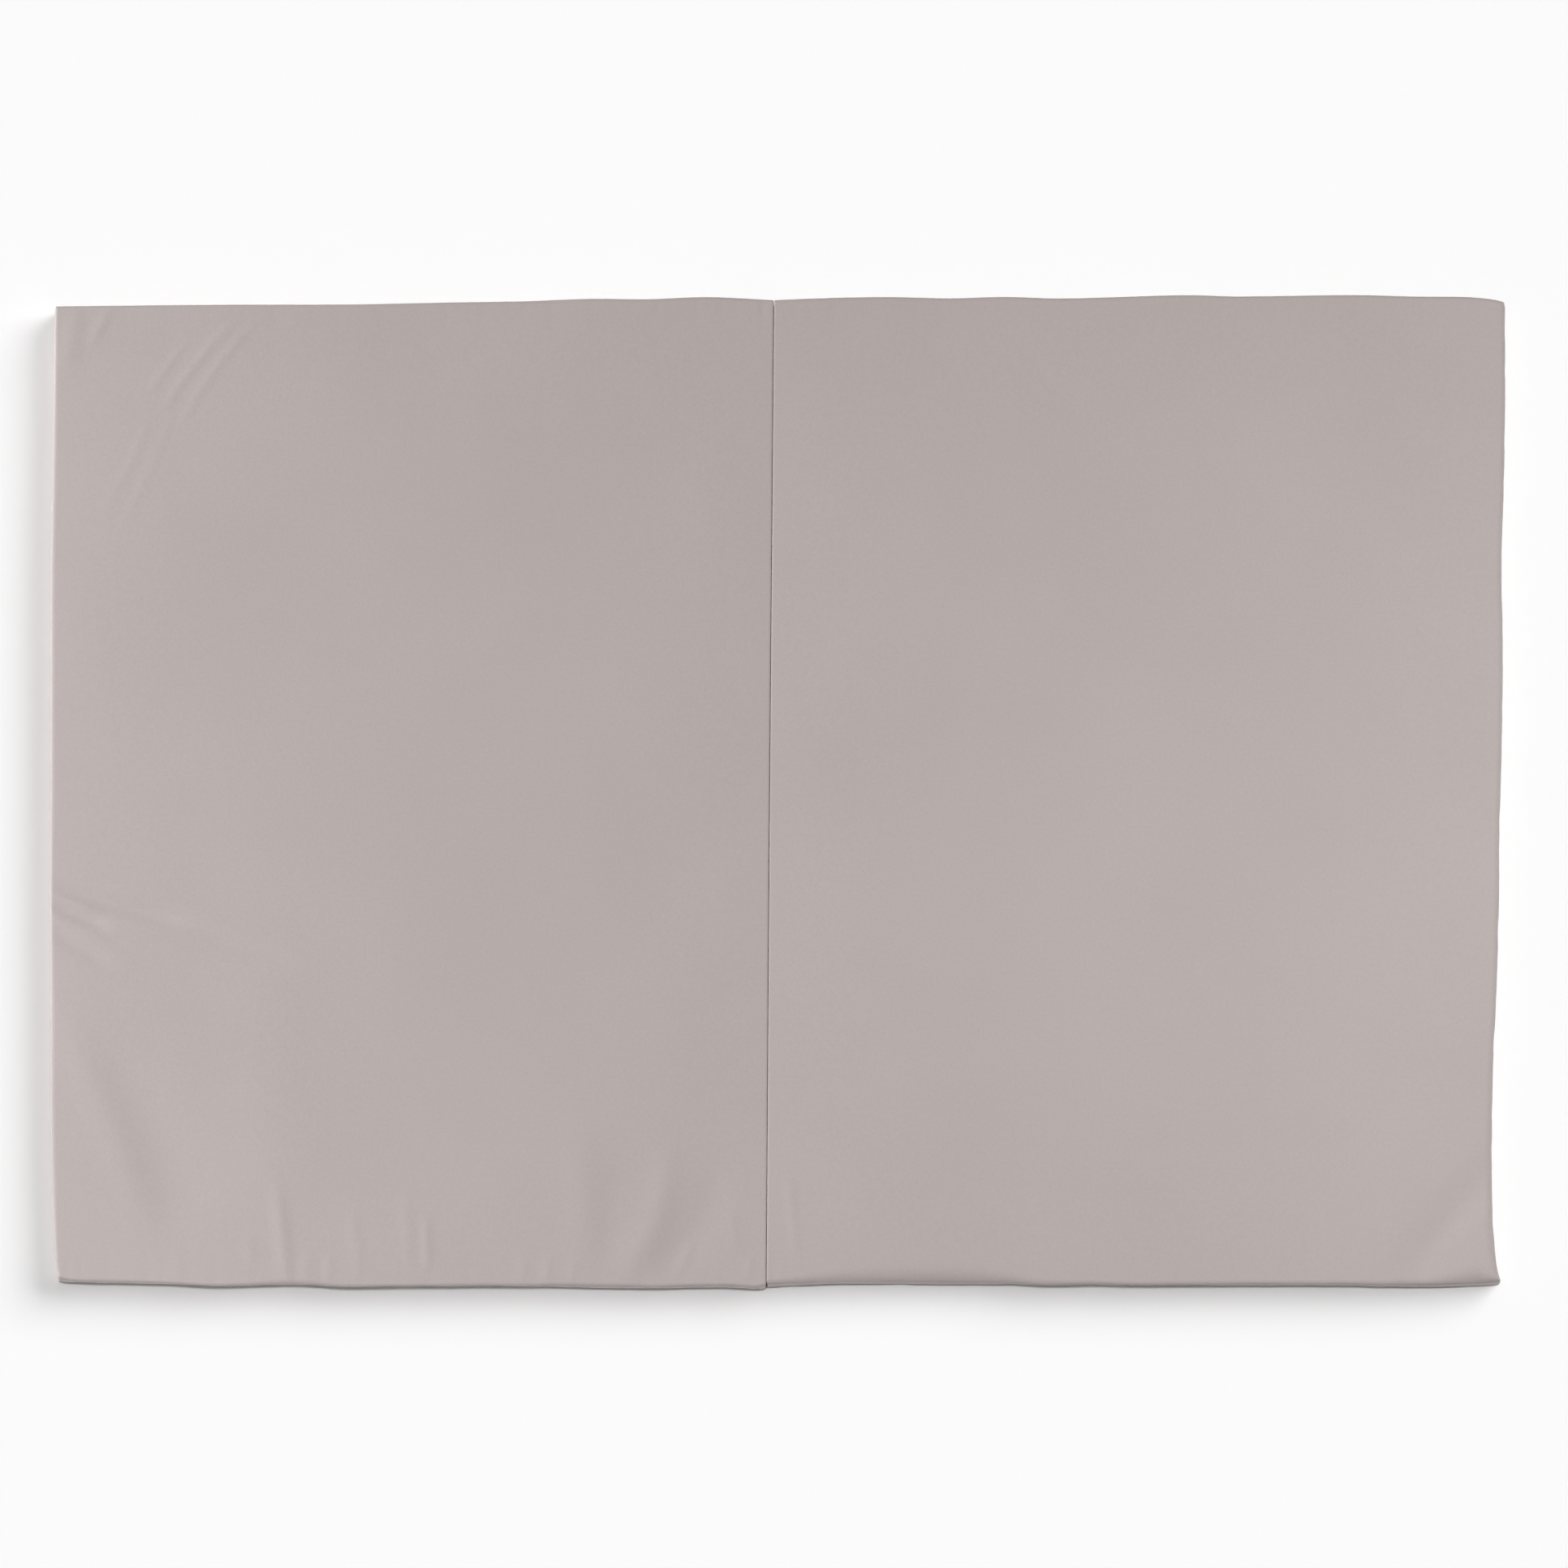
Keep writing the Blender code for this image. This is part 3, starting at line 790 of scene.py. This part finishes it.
def make_pieces():
    """The mat's three pieces, each in place of its solid."""
    fold_of_left = FoldEdge(-1, LEFT_PANEL_JUT)
    fold_of_right = FoldEdge(1, 0)
    left_seam = fold_of_left.at(ENDS)[0]
    right_seam = fold_of_right.at(ENDS)[0]
    left_shape = PanelShape(
        front=StrayingEdge(FRONT_LEFT, left_seam[1], FRONT_EDGE_LEFT_PANEL, (0, -1)),
        back=StrayingEdge(BACK_LEFT, left_seam[0], BACK_EDGE_LEFT_PANEL, (0, 1)),
        left=StrayingEdge(BACK_LEFT, FRONT_LEFT, LEFT_EDGE, (-1, 0)),
        right=fold_of_left,
        phase=0.4,
    )
    right_shape = PanelShape(
        front=StrayingEdge(right_seam[1], FRONT_RIGHT, FRONT_EDGE_RIGHT_PANEL, (0, -1)),
        back=StrayingEdge(right_seam[0], BACK_RIGHT, BACK_EDGE_RIGHT_PANEL, (0, 1)),
        left=fold_of_right,
        right=StrayingEdge(BACK_RIGHT, FRONT_RIGHT, RIGHT_EDGE, (1, 0)),
        phase=2.6,
    )
    cover = faux_leather("cover_faux_leather", COVER_COLOUR, COVER_ROUGHNESS, COVER_GRAIN)
    under = faux_leather("underside_faux_leather", UNDERSIDE_COLOUR, UNDERSIDE_ROUGHNESS, UNDERSIDE_GRAIN)
    left = make_panel("left_panel_cover", left_shape, LEFT_PANEL_WIDTH, PANEL_DEPTH)
    right = make_panel("right_panel_cover", right_shape, RIGHT_PANEL_WIDTH, PANEL_DEPTH)
    for panel, node in ((left, "panel_left"), (right, "panel_right")):
        panel.data.materials.append(cover)
        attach(panel, "root")
        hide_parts(node)
    underside, size, area = make_underside("underside_cover", left_shape.at_base(), right_shape.at_base())
    underside.data.materials.append(under)
    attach(underside, "root")
    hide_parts("base_sheet")
    return left, right, underside


def make_floor():
    """A pale floor without an edge in view, and an even surround behind it that gives no light."""
    mesh = bpy.data.meshes.new("floor")
    sides = ((-1, -1), (1, -1), (1, 1), (-1, 1))
    corners = [(x * FLOOR_HALF, y * FLOOR_HALF, FLOOR_LEVEL) for x, y in sides]
    mesh.from_pydata(corners, [], [(0, 1, 2, 3)])
    floor = bpy.data.objects.new("floor", mesh)
    mesh.materials.append(plain_material("pale_floor", FLOOR_COLOUR))
    bpy.context.scene.collection.objects.link(floor)
    bpy.ops.mesh.primitive_uv_sphere_add(segments=48, ring_count=24, radius=SURROUND_RADIUS)
    surround = bpy.context.active_object
    surround.name = "surround"
    surround.data.materials.append(glowing_material("even_surround", SURROUND_COLOUR))
    surround.visible_diffuse = False
    surround.visible_glossy = False
    surround.visible_transmission = False
    surround.visible_shadow = False
    return floor


def receivers(name, objects):
    """A collection of what a light falls on."""
    collection = bpy.data.collections.new(name)
    for obj in objects:
        collection.objects.link(obj)
    return collection


def add_light(name, kind, lit, power, place, aim, **settings):
    """A light at a place, aimed at a point, that falls on what is in the collection lit."""
    light = bpy.data.lights.new(name, kind)
    light.energy = power
    for key, value in settings.items():
        setattr(light, key, value)
    obj = bpy.data.objects.new(name, light)
    obj.location = place
    obj.rotation_euler = (Vector(aim) - Vector(place)).to_track_quat("-Z", "Y").to_euler()
    obj.light_linking.receiver_collection = lit
    bpy.context.scene.collection.objects.link(obj)


def add_softbox(name, lit, power, place, size):
    """A square soft light, in watts and metres, aimed at the middle of the mat."""
    add_light(name, "AREA", lit, power, place, (0, 0, 0.03), size=size)


def add_sun(name, lit, power, place, angle):
    """A light as from a far disc that is this many degrees wide, in the direction of this place."""
    add_light(name, "SUN", lit, power, place, (0, 0, 0), angle=math.radians(angle))


def make_lights(pieces, floor):
    """Soft studio light: from the left and overhead on the mat, and from the back right on the floor."""
    on_mat = receivers("lit_mat", pieces)
    on_floor = receivers("lit_floor", [floor])
    add_softbox("left_softbox", on_mat, power=67.0, place=(-2.6, 0.6, 0.8), size=0.6)
    add_softbox("front_softbox", on_mat, power=2.6, place=(-0.7, -0.9, 0.7), size=0.4)
    add_softbox("right_softbox", on_mat, power=15.3, place=(1.2, -0.1, 1.4), size=0.8)
    add_sun("overhead", on_mat, power=0.43, place=(0, 0, 3), angle=60)
    add_sun("floor_overhead", on_floor, power=1.19, place=(0, 0, 3), angle=4)
    add_sun("floor_key", on_floor, power=2.19, place=(1.0, 0.6, 1.0), angle=45)
    world = bpy.data.worlds.new("soft_surround")
    bpy.context.scene.world = world
    world.use_nodes = True
    background = world.node_tree.nodes["Background"]
    background.inputs["Color"].default_value = (1, 1, 1, 1)
    background.inputs["Strength"].default_value = SURROUND_LIGHT


def make_camera():
    """The photograph's view: from high above, a little in front of the mat."""
    camera = bpy.data.cameras.new("camera")
    camera.sensor_width = SENSOR_WIDTH
    camera.lens = SENSOR_WIDTH * CAMERA_DISTANCE / FRAME_WIDTH
    camera.clip_end = CAMERA_REACH
    tilt = math.radians(CAMERA_TILT)
    back = Vector((0, -math.sin(tilt), math.cos(tilt)))
    obj = bpy.data.objects.new("camera", camera)
    obj.location = Vector(CAMERA_TARGET) + back * CAMERA_DISTANCE
    obj.rotation_euler = (-back).to_track_quat("-Z", "Y").to_euler()
    bpy.context.scene.collection.objects.link(obj)
    bpy.context.scene.camera = obj


def main():
    """Builds the scene."""
    pieces = make_pieces()
    floor = make_floor()
    make_lights(pieces, floor)
    make_camera()
    bpy.context.scene.view_settings.view_transform = "Standard"


main()
